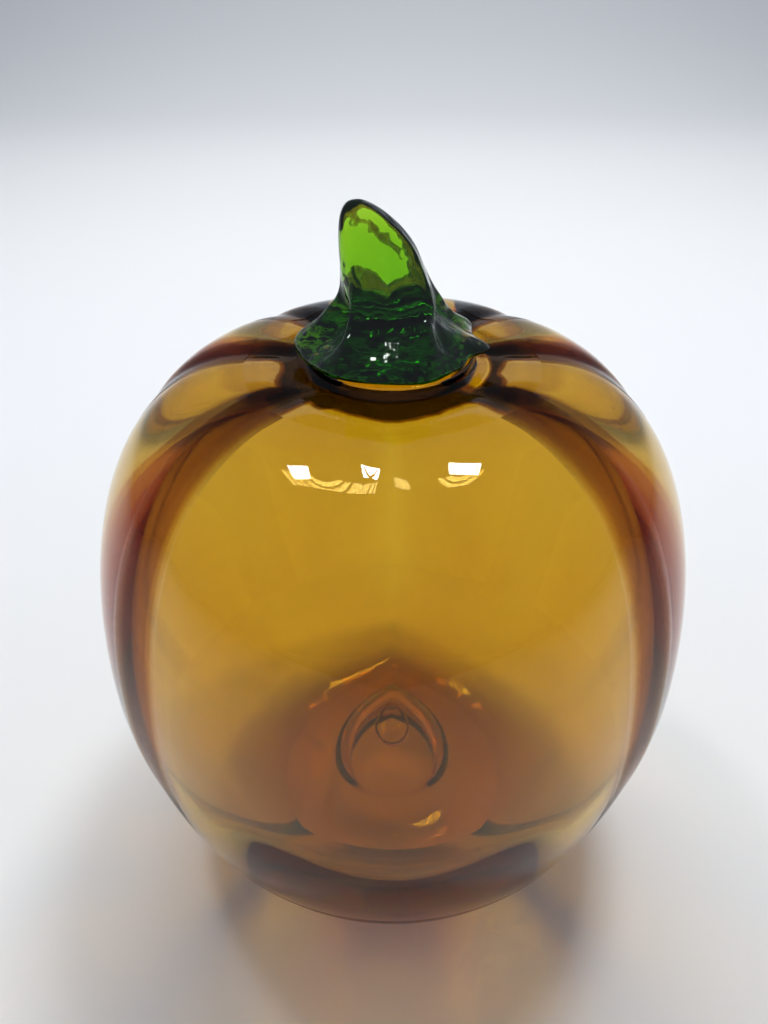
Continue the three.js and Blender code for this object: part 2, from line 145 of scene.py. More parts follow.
def side_normal(level):
    part = min(int(level), 2)
    share = level - part
    ahead = curve_point(side_curves[part], min(share + slope_step, 1))
    along = ahead - curve_point(side_curves[part], max(share - slope_step, 0))
    return Vector((along.y, -along.x)).normalized()


def level_at_radius(part, radius):
    """The level at which one part of the side has a radius, found by halving."""
    low, high = 0, 1
    growing = side_curves[part][3][0] > side_curves[part][0][0]
    for _ in range(halvings):
        middle = (low + high) / 2
        if (curve_point(side_curves[part], middle).x > radius) == growing:
            high = middle
        else:
            low = middle
    return part + low


def lobe_share(azimuth):
    """How far across its lobe an azimuth is."""
    turned = (azimuth - groove_azimuths[0]) % 360 + groove_azimuths[0]
    ends = groove_azimuths + [groove_azimuths[0] + 360]
    index = max(i for i in range(len(groove_azimuths)) if turned >= ends[i] - 1e-9)
    return (turned - ends[index]) / (ends[index + 1] - ends[index])


def swell(azimuth, level, dent):
    """0 in a groove, 1 in the middle of a lobe; the front groove shows only near the crown."""
    across = sin(pi * lobe_share(azimuth))
    if abs(azimuth) < front_lobe_half:
        wide = cos(pi * azimuth / (2 * front_lobe_half))
        across = wide + (across - wide) * dent * held((level - front_groove_level) / front_groove_run)
    soft = groove_roundness + front_softness * exp(-(azimuth / front_softness_width) ** 2)
    return ((across ** 2 + soft ** 2) ** .5 - soft) / ((1 + soft ** 2) ** .5 - soft)


def rib_share(level):
    """How strongly the lobes show: most at the side, gone at the ring and the neck."""
    return max(sin(pi * min(level, trough_level) / trough_level), 0) ** rib_fade


def from_groove(azimuth, groove):
    """Degrees between two azimuths."""
    return abs((azimuth - groove + 180) % 360 - 180)


def skin(level, azimuth, out):
    """A point of the ribbed skin at a level and azimuth, out metres off it."""
    place = side_place(level)
    normal = side_normal(level)
    out -= lobe_depth * rib_share(level) * (1 - swell(azimuth, level, 1)) ** 2
    return round_point(place.x + normal.x * out, radians(azimuth), place.y + normal.y * out)


def heel_wall(azimuth):
    """The wall at the foot: the gather sagged to the front and left a thick heel there."""
    away = from_groove(azimuth, 0)
    sides = heel_middle + (1 - heel_middle) * min(away / heel_middle_width, 1) ** 2
    return base_wall + heel_extra * exp(-(away / heel_reach) ** heel_steepness) * sides


def wall_thickness(level, azimuth):
    lens = swell(azimuth, level, front_dent)
    heel = heel_wall(azimuth)
    plain = heel + (groove_wall - heel) * min(level, 1)
    follows = inner_groove * (1 - swell(azimuth, level, 0)) ** 2
    return plain + (lobe_swell * lens + follows) * rib_share(level)


def bent_run(knots, steps, first=0):
    """Places along the curve that four knots bend, in even steps."""
    return [curve_point(knots, i / steps) for i in range(first, steps + 1)]


# The bubble's profile as radius and height: under the kick-up, over the lip and the mouth, and
# at last down to the top of the kick-up from inside. The ribbed sides are added between them.
ring_inner = ring_radius - ring_width
under_kick = bent_run([
    (0, kick_height), (kick_radius * kick_dome, kick_height),
    (kick_radius, kick_waist_height + kick_fullness * (kick_height - kick_waist_height)),
    (kick_radius, kick_waist_height)], kick_steps)
under_kick += bent_run([
    (kick_radius, kick_waist_height), (kick_radius, kick_waist_height * kick_flare_bend),
    ((kick_radius + ring_inner) / 2, kick_flare_lift), (ring_inner, 0)], kick_steps, 1)
neck_top = shoulder_height + neck_height
neck_side = [(trough_radius, shoulder_height - trough_depth),
             (neck_radius + neck_foot_flare, shoulder_height - trough_depth),
             (neck_radius, shoulder_height), (neck_radius, neck_top - neck_lip_round)]
neck_and_mouth = bent_run(neck_side, neck_steps, 1) + [Vector(row) for row in (
    (neck_radius - .0003, neck_top - .0002), (neck_radius - .0010, neck_top),
    (mouth_radius + .001, neck_top), (mouth_radius, neck_top - .001), (mouth_radius, .1862),
    (mouth_radius + .001, .1846), (mouth_radius + .0035, .1838))]
over_radius = kick_radius + kick_side_wall
over_waist = kick_waist_height + floor_waist_lift
ceiling = kick_height + kick_crown_wall
over_kick = bent_run([
    (ring_radius - ring_width / 2 + floor_margin, base_wall), (over_radius + floor_run_in, base_wall),
    (over_radius, kick_waist_height * floor_waist_bend), (over_radius, over_waist)], floor_steps)
over_kick += bent_run([
    (over_radius, over_waist),
    (over_radius, kick_waist_height + kick_fullness * (ceiling - kick_waist_height)),
    (over_radius * kick_dome, ceiling), (0, ceiling)], kick_steps, 1)

# Kinds of place: bare underside, ribbed outside, ribbed inside, and smooth but under the film
underside, ribbed_outside, ribbed_inside, smooth_inside = range(4)
bubble = bmesh.new()
kind_of = bubble.verts.layers.int.new("kind")
level_of = bubble.verts.layers.float.new("level")
profile = []


def profile_vert(place, kind, level=0):
    vert = bubble.verts.new((0, -place.x, place.y))
    vert[kind_of] = kind
    vert[level_of] = level
    profile.append(vert)


for place in under_kick:
    profile_vert(place, underside)
for i in range(1, side_steps + 1):
    level = i / side_steps * trough_level
    profile_vert(side_place(level), ribbed_outside, level)
for place in neck_and_mouth:
    profile_vert(place, smooth_inside)
inside_low = level_at_radius(0, ring_radius + inside_reach)
for i in range(inside_steps + 1):
    level = inside_top_level + (inside_low - inside_top_level) * i / inside_steps
    profile_vert(side_place(level), ribbed_inside, level)
for place in over_kick:
    profile_vert(place, smooth_inside)
for one, two in zip(profile, profile[1:]):
    bubble.edges.new((one, two))
bmesh.ops.spin(bubble, geom=bubble.verts[:] + bubble.edges[:], cent=(0, 0, 0), axis=(0, 0, 1),
               angle=2 * pi, steps=columns, use_merge=True)
bmesh.ops.remove_doubles(bubble, verts=bubble.verts, dist=1e-6)
for vert in bubble.verts:
    azimuth = degrees(atan2(vert.co.x, -vert.co.y))
    level = vert[level_of]
    if vert[kind_of] == ribbed_outside:
        vert.co = skin(level, azimuth, 0)
    elif vert[kind_of] == ribbed_inside:
        place = side_place(level) - side_normal(level) * wall_thickness(level, azimuth)
        vert.co = round_point(place.x, radians(azimuth), place.y)
bmesh.ops.recalc_face_normals(bubble, faces=bubble.faces)


def object_from(shape, name, material):
    mesh = bpy.data.meshes.new(name)
    shape.to_mesh(mesh)
    shape.free()
    for face in mesh.polygons:
        face.use_smooth = True
    mesh.materials.append(material)
    thing = bpy.data.objects.new(name, mesh)
    bpy.context.scene.collection.objects.link(thing)
    return thing


def piece_from(shape, name, material):
    piece = object_from(shape, name, material)
    piece.data.set_sharp_from_angle(angle=radians(70))
    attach(piece, "root")
    return piece


def add_node(nodes, kind, inputs, **settings):
    """A node with its settings; each input is a plain value or another node's output."""
    node = nodes.new("ShaderNode" + kind)
    for setting, value in settings.items():
        setattr(node, setting, value)
    for socket, value in inputs.items():
        if isinstance(value, bpy.types.NodeSocket):
            node.id_data.links.new(value, node.inputs[socket])
        else:
            node.inputs[socket].default_value = value
    return node


def mix_tones(nodes, share, under, over, blend="MIX"):
    """Blends two tones, each a colour or a node's output, by a share that a node gives."""
    under, over = ((*tone, 1) if isinstance(tone, tuple) else tone for tone in (under, over))
    mixed = add_node(nodes, "Mix", {0: share, 6: under, 7: over}, data_type="RGBA",
                     blend_type=blend)
    return mixed.outputs[2]


def tone_ramp(nodes, share, tones, easing="LINEAR"):
    """A run of tones, each a position and a colour, read at a share."""
    ramp = add_node(nodes, "ValToRGB", {0: share})
    ramp.color_ramp.interpolation = easing
    ends = ramp.color_ramp.elements
    for end, (position, tone) in ((ends[0], tones[0]), (ends[1], tones[-1])):
        end.position = position
        end.color = (*tone, 1)
    for position, tone in tones[1:-1]:
        ends.new(position).color = (*tone, 1)
    return ramp.outputs[0]


def drawn_streaks(nodes, coordinates, stretch, detail, start=(0, 0, 0)):
    """The streaks that drawing the hot glass out leaves in it, from 0 to 1."""
    place = add_node(nodes, "TexCoord", {})
    drawn = add_node(nodes, "Mapping", {"Vector": place.outputs[coordinates], "Location": start,
                                        "Scale": stretch})
    streaks = add_node(nodes, "TexNoise", {"Vector": drawn.outputs[0], "Scale": 1, "Detail": detail})
    return streaks.outputs["Fac"]


def clear_glass(name, absorbed=None, density=0, bend=1.5):
    """Smooth glass whose colour comes from its depth; gives back its nodes and its shader too."""
    material = bpy.data.materials.new(name)
    material.use_nodes = True
    nodes = material.node_tree.nodes
    shader = nodes["Principled BSDF"]
    shader.inputs["Base Color"].default_value = (1, 1, 1, 1)
    shader.inputs["Transmission Weight"].default_value = 1
    shader.inputs["Roughness"].default_value = 0
    shader.inputs["IOR"].default_value = bend
    if absorbed:
        depth = add_node(nodes, "VolumeAbsorption", {"Color": (*absorbed, 1), "Density": density})
        material.node_tree.links.new(depth.outputs[0], nodes["Material Output"].inputs["Volume"])
    return material, nodes, shader


# The gather is a pale straw glass over a thin film of strong amber, so the colour lies on the inside.
# The film is painted richer and darker low down: painted shade for the lower part, which looks onto
# the shadowed paper.
straw_absorbed, straw_density = (.932, .83, .42), 250
film_tones = [(.35, (.79, .60, .050)), (.65, (.73, .53, .030))]
# Painted shade: a deeper tone multiplied into the film from 10 cm high down to 1 cm
film_painted_shade = (.96, .80, .20)
film_painted_shade_from, film_painted_shade_to = .10, .01
film_stretch = (26, 26, 9)

amber_glass, nodes, shader = clear_glass("amber_glass", straw_absorbed, straw_density)
kind = add_node(nodes, "Attribute", {}, attribute_name="kind")
on_film = add_node(nodes, "Math", {0: kind.outputs["Fac"], 1: ribbed_inside - .5},
                   operation="GREATER_THAN")
place = add_node(nodes, "TexCoord", {})
split = add_node(nodes, "SeparateXYZ", {0: place.outputs["Object"]})
# Painted shade: share of the deeper film tone, growing towards the bottom of the bubble
low_painted_shade = add_node(nodes, "MapRange", {"Value": split.outputs["Z"], "From Min": film_painted_shade_from,
                                        "From Max": film_painted_shade_to})
film = tone_ramp(nodes, drawn_streaks(nodes, "Object", film_stretch, 2), film_tones)
film = mix_tones(nodes, low_painted_shade.outputs[0], film, film_painted_shade, "MULTIPLY")
film = mix_tones(nodes, on_film.outputs[0], (1, 1, 1), film)
amber_glass.node_tree.links.new(film, shader.inputs["Base Color"])
amber_bubble = piece_from(bubble, "amber_bubble", amber_glass)
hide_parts("amber_body")

# Dark trails: six ribbons of aubergine-brown glass, laid into the grooves and rolled flush while
# hot. They are thick and dark along the middle, feather out at both edges, narrow towards the
# crown and the base, and thin away on the far side.
laid_gap = .00006
laid_bend = 1.02
laid_coat, laid_coat_roughness, laid_coat_bend = .35, .02, 1.5
trail_thickness = .00025
trail_half_width = .0128
trail_steps = (16, 90)
crown_narrowing, crown_narrowing_level, crown_narrowing_run = .38, 1.25, .65
base_narrowing, base_narrowing_level, base_narrowing_run = .25, .8, .4
trail_tones = [(.12, (.44, .22, .12)), (.34, (.52, .30, .18)), (.44, (.68, .48, .31)),
               (.54, (.92, .84, .72)), (.60, (1, 1, 1))]
trail_wander = .22
trail_stretch = (9, 1.6, 1)
gathered_tone = (.42, .36, .38)
gathered_from = .78
faded_from = .42
crown_wrap_levels = (level_at_radius(1, .042), trough_level)
base_wrap_levels = (level_at_radius(0, .0425), level_at_radius(0, .0850))
# Node, azimuth, and how deep its colour is at the crown and at the base
trails = [("front_left_trail", -51.5, 1, 1), ("front_right_trail", 51.5, 1, 1),
          ("left_trail", -99, 1, .12), ("right_trail", 99, 1, .12),
          ("back_left_trail", -139, .8, .06), ("back_right_trail", 139, .8, .06)]


def laid_glass(name):
    """Dark glass that is fused to the bubble: it bends light no more, but it shines."""
    material, nodes, shader = clear_glass(name, bend=laid_bend)
    shader.inputs["Coat Weight"].default_value = laid_coat
    shader.inputs["Coat Roughness"].default_value = laid_coat_roughness
    shader.inputs["Coat IOR"].default_value = laid_coat_bend
    return material, nodes, shader


def trail_glass(name, crown_tone, base_tone):
    """Dark glass that is deepest along the trail's middle; UV runs across and up the trail."""
    material, nodes, shader = laid_glass(name)
    place = add_node(nodes, "TexCoord", {})
    split = add_node(nodes, "SeparateXYZ", {0: place.outputs["UV"]})
    middle = add_node(nodes, "Math", {0: split.outputs["X"], 1: .5}, operation="SUBTRACT")
    across = add_node(nodes, "Math", {0: middle.outputs[0]}, operation="ABSOLUTE")
    brush = drawn_streaks(nodes, "UV", trail_stretch, 3, (len(name), 0, 0))
    wander = add_node(nodes, "Math", {0: brush, 1: trail_wander, 2: across.outputs[0]},
                      operation="MULTIPLY_ADD")
    tone = tone_ramp(nodes, wander.outputs[0], trail_tones, "EASE")
    gathered = add_node(nodes, "MapRange", {"Value": split.outputs["Y"], "From Min": gathered_from})
    tone = mix_tones(nodes, gathered.outputs[0], tone, gathered_tone, "MULTIPLY")
    depth = add_node(nodes, "MapRange", {"Value": split.outputs["Y"], "From Min": faded_from,
                                         "From Max": gathered_from, "To Min": base_tone,
                                         "To Max": crown_tone})
    tone = mix_tones(nodes, depth.outputs[0], (1, 1, 1), tone)
    material.node_tree.links.new(tone, shader.inputs["Base Color"])
    return material


def flat_strip(across_steps, along_steps):
    """A flat closed strip, not bent yet, with a UV map across and along it."""
    strip = bmesh.new()
    bmesh.ops.create_grid(strip, x_segments=across_steps, y_segments=along_steps, size=.5)
    bmesh.ops.solidify(strip, geom=strip.faces[:], thickness=.1)
    uv = strip.loops.layers.uv.new("UVMap")
    for face in strip.faces:
        for loop in face.loops:
            loop[uv].uv = (loop.vert.co.x + .5, loop.vert.co.y + .5)
    return strip


def bend_strip(strip, place_at):
    """Lays a strip on the skin: place_at takes how far a place is across, along and up the strip."""
    bottom = min(vert.co.z for vert in strip.verts)
    top = max(vert.co.z for vert in strip.verts)
    for vert in strip.verts:
        vert.co = place_at(vert.co.x, vert.co.y + .5, (vert.co.z - bottom) / (top - bottom))
    bmesh.ops.remove_doubles(strip, verts=strip.verts, dist=1e-5)
    bmesh.ops.recalc_face_normals(strip, faces=strip.faces)


def lay_trail(node, azimuth, crown_tone, base_tone):
    """A closed ribbon just off the skin: barely proud along its middle, and sharp at both edges."""
    low, high = base_wrap_levels[1], crown_wrap_levels[0]

    def place_at(across, along, up):
        level = low + (high - low) * along
        thick = max(trail_thickness * (1 - (across * 2) ** 2), 0)
        narrow = (crown_narrowing * held((level - crown_narrowing_level) / crown_narrowing_run)
                  + base_narrowing * held((base_narrowing_level - level) / base_narrowing_run))
        turn = degrees(across * 2 * trail_half_width * (1 - narrow) / side_place(level).x)
        return skin(level, azimuth + turn, laid_gap + thick * up)

    strip = flat_strip(*trail_steps)
    bend_strip(strip, place_at)
    trail = piece_from(strip, "laid_" + node, trail_glass("dark_" + node, crown_tone, base_tone))
    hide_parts(node)


for trail in trails:
    lay_trail(*trail)

# Crown and base wraps: the dark gather that the trails run out of is wound round the crown,
# and what is left of them is pressed flat round the kick-up under the base.
wrap_thickness = .00025
wrap_steps = 24
wrap_wander = .3
wrap_stretch = (60, 3, 1)
crown_thin, crown_deep = (.40, .22, .14), (.06, .045, .045)
base_thin, base_deep = (.46, .31, .13), (.12, .08, .04)
# Azimuth, and how far out the crown wrap's dark glass reaches there
crown_reach = [(-180, .030), (-139, .033), (-120, .028), (-99, .033), (-82, .031), (-62, .0345),
               (-54, .0368), (-47, .0338), (-43, .0318), (-34, .0338), (-28, .0318), (-13, .0330),
               (0, .0326), (11, .0332), (20, .033), (27, .0316), (36, .0312), (46, .0335),
               (55, .0358), (65, .0335), (76, .0305), (99, .033), (120, .028), (139, .033),
               (180, .030)]
crown_depth = .95
crown_edge_margin, crown_edge_blur = .0016, .0034
neck_foot_share = .8
neck_slope_step = .01
# Where each trail runs in over the crown wrap: it deepens and narrows on its way to the neck
run_in_from, run_in_length = .042, .008
run_in_depth, run_in_deepening = .62, .33
run_in_width, run_in_narrowing = .0068, .0012
# The patch on the right where the wrap bares the amber lip
bare_azimuth, bare_width = 76, 26
bare_radius, bare_edge_blur = .0286, .0014
# Where the front trails run out under the base, and the patch that is pressed between them
run_out_azimuth = 51.5
run_out_from, run_out_length = .085, .025
run_out_depth, run_out_deepening = .60, .25
run_out_width, run_out_narrowing = .0074, .002
pressed_depth, pressed_width = .44, 31
pressed_rim, pressed_rim_rise, pressed_rim_width = .076, .008, 22
pressed_edge_blur = .012


def eased_at(rows, azimuth):
    """The measure at an azimuth, eased between the two rows of a table next to it."""
    for (one, low), (two, high) in zip(rows, rows[1:]):
        if one <= azimuth <= two:
            share = (azimuth - one) / (two - one)
            share = share * share * (3 - 2 * share)
            return low + (high - low) * share


def crown_level(share):
    return crown_wrap_levels[0] + (trough_level - crown_wrap_levels[0]) * share / neck_foot_share


def crown_place(share, azimuth, out):
    """A point of the crown: share 0 at the wrap's outer edge, .8 at the neck's foot, 1 at its top."""
    if share < neck_foot_share:
        return skin(crown_level(share), azimuth, out)
    rise = (share - neck_foot_share) / (1 - neck_foot_share)
    place = curve_point(neck_side, rise)
    along = (curve_point(neck_side, min(rise + neck_slope_step, 1))
             - curve_point(neck_side, max(rise - neck_slope_step, 0)))
    normal = Vector((along.y, -along.x)).normalized()
    return round_point(place.x + normal.x * out, radians(azimuth), place.y + normal.y * out)


def base_level(share):
    return base_wrap_levels[0] + (base_wrap_levels[1] - base_wrap_levels[0]) * share


def base_place(share, azimuth, out):
    return skin(base_level(share), azimuth, out)


def run_width(azimuth, groove, radius, half_width):
    """1 along the middle of a trail, 0 past its edges."""
    return exp(-(radians(from_groove(azimuth, groove)) * radius / half_width) ** 4)


def crown_tone(azimuth, share):
    """1 where the crown wrap is dark, 0 where it has run out to clear glass."""
    radius = side_place(min(crown_level(share), trough_level)).x
    wound = held((eased_at(crown_reach, azimuth) + crown_edge_margin - radius) / crown_edge_blur)
    nearer = held((run_in_from - radius) / run_in_length)
    half_width = run_in_width - run_in_narrowing * nearer
    trail = max(run_width(azimuth, trail[1], radius, half_width) for trail in trails)
    dark = max(crown_depth * wound, (run_in_depth + run_in_deepening * nearer) * trail)
    bare = exp(-((azimuth - bare_azimuth) / bare_width) ** 4)
    return dark * (1 - bare * held((bare_radius - radius) / bare_edge_blur))


def base_tone(azimuth, share):
    """1 under the front, where the trails are pressed together, and along the front trails."""
    radius = side_place(base_level(share)).x
    away = abs(azimuth)
    lower = held((run_out_from - radius) / run_out_length)
    half_width = run_out_width - run_out_narrowing * lower
    trail = run_width(away, run_out_azimuth, radius, half_width)
    rim = pressed_rim + pressed_rim_rise * min(away / pressed_rim_width, 1) ** 2
    pressed = exp(-(away / pressed_width) ** 4) * held((rim - radius) / pressed_edge_blur)
    return max((run_out_depth + run_out_deepening * lower) * trail, pressed_depth * pressed)


def wind_wrap(name, node, place_at, tone_at, thin, deep):
    """A closed band round the bubble, whose colour follows the tone that each place is given."""
    band = flat_strip(columns, wrap_steps)
    tone_of = band.verts.layers.float.new("tone")
    for vert in band.verts:
        vert[tone_of] = tone_at(vert.co.x * 360, vert.co.y + .5)
    bend_strip(band, lambda around, share, up: place_at(
        share, around * 360, laid_gap + wrap_thickness * 4 * share * (1 - share) * up))
    material, nodes, shader = laid_glass(name)
    depth = add_node(nodes, "Attribute", {}, attribute_name="tone")
    brush = drawn_streaks(nodes, "UV", wrap_stretch, 3)
    wander = add_node(nodes, "Math", {0: brush, 1: wrap_wander, 2: depth.outputs["Fac"]},
                      operation="MULTIPLY_ADD")
    tone = tone_ramp(nodes, wander.outputs[0], [(.30, (1, 1, 1)), (.55, thin), (1, deep)], "EASE")
    material.node_tree.links.new(tone, shader.inputs["Base Color"])
    wrap = piece_from(band, name, material)
    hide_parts(node)


wind_wrap("wound_crown", "crown_wrap", crown_place, crown_tone, crown_thin, crown_deep)
wind_wrap("pressed_base", "base_wrap", base_place, base_tone, base_thin, base_deep)

# Stem: a solid gather of green glass dropped over the mouth, pulled up into a horn that leans
# left, pinched into toes round its foot, and sheared so that one flat face looks to the front.
stem_foot = .1930
stem_turns = 72
mm = .001
# Azimuth, reach in mm and width in degrees of each toe pinched out of the foot
toes = [(-150, 2.4, 16), (-98, 3.4, 19), (-36, 3.6, 17), (24, 3.6, 19), (122, 2.3, 13),
        (162, 2.3, 15)]
# In mm: height over the foot, middle x, middle y, half width, half depth and how far the toes
# stand out; and last how flat the cut is
stem_rows = [
    (0.2, 0, 0, 23.2, 23.2, 0, 0), (0.6, 0, 0, 24.5, 24.5, .3, 0), (1.6, 0, 0, 25.0, 24.5, .5, 0),
    (3.2, 0, 0, 23.6, 22.6, .9, 0), (5.0, .2, 0, 20.0, 18.6, 1.6, 0),
    (7.2, .5, 0, 16.3, 14.6, 2.3, 0), (9.6, .7, .1, 13.9, 10.9, 2.5, .1),
    (11.8, .5, .4, 12.9, 8.6, 2.1, .3), (14.0, .1, .8, 12.5, 7.4, 1.2, .7),
    (17.4, -1.0, 1.0, 12.0, 6.6, .4, 1), (21.4, -2.2, 1.2, 11.5, 6.2, .15, 1),
    (25.6, -3.2, 1.3, 10.7, 5.9, 0, 1), (29, -4.0, 1.4, 10.0, 5.6, 0, 1),
    (32, -5.2, 1.4, 8.8, 5.1, 0, 1), (34.6, -6.4, 1.4, 7.4, 4.5, 0, 1),
    (36.8, -7.5, 1.4, 5.9, 3.9, 0, .9), (38.6, -8.4, 1.3, 4.3, 3.1, 0, .7),
    (39.8, -8.9, 1.2, 2.7, 2.1, 0, .4), (40.3, -9.0, 1.1, 1.2, 1.0, 0, .2),
]
# Azimuth, and how far in mm the foot's rim stands out of a round one there
foot_rim = [(-180, 0), (-150, 1.6), (-125, -.6), (-98, 2.2), (-75, .8), (-50, 0), (-25, -.7),
            (0, -.9), (22, -.5), (40, -1.3), (54, -.6), (66, -2.0), (85, 1.4), (102, -.8),
            (125, 1.4), (150, -.6), (180, 0)]
foot_rim_top, foot_rim_fade = 7, 5
toe_valley = .9
cut_squareness = 1.1
face_hollow = .7
# The ridge that sweeps from the right of the foot round to the back of the horn
ridge_out, ridge_azimuth, ridge_sweep, ridge_width = 1.4, 50, 34, 10
ridge_low_zone, ridge_top, ridge_top_fade = 12, 40, 8
# The left toe, which droops over the crown
droop, droop_azimuth, droop_width, droop_zone, droop_start = 2.4, -95, 34, 4, .6
# Height, waves up and waves across of the two ripples that the pull left in the back
fine_ripple, broad_ripple = (.14, 3.1, .6), (.5, .42, .35)
# Radius and height over the foot of the plug that sank into the mouth
stem_plug = [(.0136, .0001), (.0136, -.001), (.0120, -.0028), (.0080, -.0038), (.0030, -.0041)]
foot_inset, foot_lift = .0003, .0001
green_absorbed, green_density = (.72, .88, .02), 560
dimple_stretch, dimple_strength, dimple_depth = (210, 210, 90), .8, .0012


def stem_point(row, azimuth):
    """A point of the horn's skin, with its toes, its ridge, its flat face and the drooping toe."""
    height, x, y, half_width, half_depth, spread, cut = row
    turn = radians(azimuth)
    fold = max(out * exp(-(from_groove(azimuth, toe) / width) ** 2) for toe, out, width in toes)
    square = 2 + cut_squareness * cut
    reach = ((abs(sin(turn)) ** square + abs(cos(turn)) ** square) ** (-1 / square)
             + spread * (fold - toe_valley) / half_width)
    reach += eased_at(foot_rim, azimuth) * held((foot_rim_top - height) / foot_rim_fade) / half_width
    low = held(1 - height / ridge_low_zone)
    ridge = ridge_out * (1 + low) * held((ridge_top - height) / ridge_top_fade) * min(height, 1)
    from_ridge = from_groove(azimuth, ridge_azimuth + ridge_sweep * low)
    reach += ridge * exp(-(from_ridge / ridge_width) ** 2) / half_width
    drooped = (exp(-(from_groove(azimuth, droop_azimuth) / droop_width) ** 2)
               * held((droop_zone - height) / droop_zone) * min(height / droop_start, 1))
    side = half_width * reach * sin(turn)
    front = half_depth * reach * cos(turn)
    if cos(turn) > 0:
        front -= face_hollow * cut * cos(pi * side / half_width / 2) * cos(turn) ** 2
    else:
        ripple = sum(size * sin(height * up + side * across)
                     for size, up, across in (fine_ripple, broad_ripple))
        front += cut * ripple * cos(turn) ** 2
    return Vector(((x + side) * mm, (y - front) * mm, stem_foot + (height - droop * drooped) * mm))


def grow_ring(shape, edges):
    """Draws a ring of edges out by one row; gives back the new row's points and edges."""
    grown = bmesh.ops.extrude_edge_only(shape, edges=edges)["geom"]
    return ([item for item in grown if isinstance(item, bmesh.types.BMVert)],
            [item for item in grown if isinstance(item, bmesh.types.BMEdge)])


horn = bmesh.new()
ring = bmesh.ops.create_circle(horn, segments=stem_turns, radius=.02)["verts"]
turns = {}
for vert in ring:
    turns[vert] = degrees(atan2(vert.co.x, -vert.co.y))
    vert.co = stem_point(stem_rows[0], turns[vert])
bottom_ring = horn.edges[:]
edges = bottom_ring
for row in stem_rows[1:]:
    verts, edges = grow_ring(horn, edges)
    grown_turns = {}
    for vert in verts:
        below = min(turns, key=lambda old: (old.co - vert.co).length_squared)
        grown_turns[vert] = turns[below]
    turns = grown_turns
    for vert in verts:
        vert.co = stem_point(row, turns[vert])
bmesh.ops.holes_fill(horn, edges=edges, sides=0)
tip = max(horn.faces, key=lambda face: face.calc_center_median().z)
bmesh.ops.poke(horn, faces=[tip])
verts, edges = grow_ring(horn, bottom_ring)
for vert in verts:
    radius = min(hypot(vert.co.x, vert.co.y) - foot_inset, neck_radius)
    vert.co = round_point(radius, atan2(vert.co.x, -vert.co.y), stem_foot + foot_lift)
for radius, height in stem_plug:
    verts, edges = grow_ring(horn, edges)
    for vert in verts:
        vert.co = round_point(radius, atan2(vert.co.x, -vert.co.y), stem_foot + height)
bmesh.ops.holes_fill(horn, edges=edges, sides=0)
bmesh.ops.recalc_face_normals(horn, faces=horn.faces)
green_glass, nodes, shader = clear_glass("green_glass", green_absorbed, green_density)
dimples = add_node(nodes, "Bump", {"Height": drawn_streaks(nodes, "Object", dimple_stretch, 1.5),
                                   "Strength": dimple_strength, "Distance": dimple_depth})
green_glass.node_tree.links.new(dimples.outputs["Normal"], shader.inputs["Normal"])
green_stem = piece_from(horn, "green_stem", green_glass)
finer = green_stem.modifiers.new("finer", "SUBSURF")
finer.levels = finer.render_levels = 1
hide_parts("stem")

# Pontil seal: the wad of amber glass that joined the pontil rod to the base, up inside the
# kick-up. It was snapped off cold, which left a shallow scar with a rounded rim.
wad_turns = 48
# Radius, and how far the wad hangs under the kick-up's ceiling there
wad_rows = [(0, .0002), (.0030, .0002), (.0058, .0002), (.0066, .0008), (.0064, .0014),
            (.0056, .0017), (.0044, .0014), (.0022, .0011), (0, .0010)]

wad = bmesh.new()
profile = []
for radius, depth in wad_rows:
    ceiling_here = min(under_kick, key=lambda place: abs(place.x - radius)).y
    profile.append(wad.verts.new((radius, 0, ceiling_here - depth)))
for one, two in zip(profile, profile[1:]):
    wad.edges.new((one, two))
bmesh.ops.spin(wad, geom=wad.verts[:] + wad.edges[:], cent=(0, 0, 0), axis=(0, 0, 1),
               angle=2 * pi, steps=wad_turns, use_merge=True)
bmesh.ops.remove_doubles(wad, verts=wad.verts, dist=1e-6)
bmesh.ops.recalc_face_normals(wad, faces=wad.faces)
pontil_wad = piece_from(wad, "pontil_wad", amber_glass)
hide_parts("pontil_seal")

# Studio: a pale paper sweep under and behind the pumpkin, painted darker towards the back as painted
# shade, a soft lamp overhead from behind, two gridded ceiling panels that show as small bright windows
# on the glass, and the camera.
sweep_half_size = (3, 1.7, 1)
sweep_rise = (0, .3, .8)
sweep_bend, sweep_bend_steps = .5, 16
# The paper's colour darkens towards the back and up the sweep: painted shade for the light falling off
# there
painted_shade_front, painted_shade_back = -.25, 1.5
paper_painted_shade_tones = [(0, (.82, .82, .80)), (.30, (.76, .78, .81)), (.60, (.66, .68, .70)),
               (1, (.60, .62, .65))]
paper_roughness = .6
room_light, room_strength = (.76, .84, .98, 1), .30
backdrop_tone = (.74, .77, .81, 1)

sweep = bmesh.new()
bmesh.ops.create_grid(sweep, x_segments=1, y_segments=1, size=1)
bmesh.ops.scale(sweep, vec=sweep_half_size, verts=sweep.verts)
back_edge = max(sweep.edges, key=lambda edge: edge.verts[0].co.y + edge.verts[1].co.y)
risen, _ = grow_ring(sweep, [back_edge])
bmesh.ops.translate(sweep, vec=sweep_rise, verts=risen)
crease = [edge for edge in sweep.edges if len(edge.link_faces) == 2]
bmesh.ops.bevel(sweep, geom=crease, offset=sweep_bend, affect="EDGES", segments=sweep_bend_steps,
                profile=.5, material=-1)
paper = bpy.data.materials.new("paper")
paper.use_nodes = True
nodes = paper.node_tree.nodes
place = add_node(nodes, "TexCoord", {})
split = add_node(nodes, "SeparateXYZ", {0: place.outputs["Object"]})
# Painted shade: how far back along the sweep a place is, which darkens the paper's tone
away = add_node(nodes, "MapRange", {"Value": split.outputs["Y"], "From Min": painted_shade_front,
                                    "From Max": painted_shade_back})
shader = nodes["Principled BSDF"]
shader.inputs["Roughness"].default_value = paper_roughness
paper.node_tree.links.new(tone_ramp(nodes, away.outputs[0], paper_painted_shade_tones),
                          shader.inputs["Base Color"])
paper_sweep = object_from(sweep, "paper_sweep", paper)

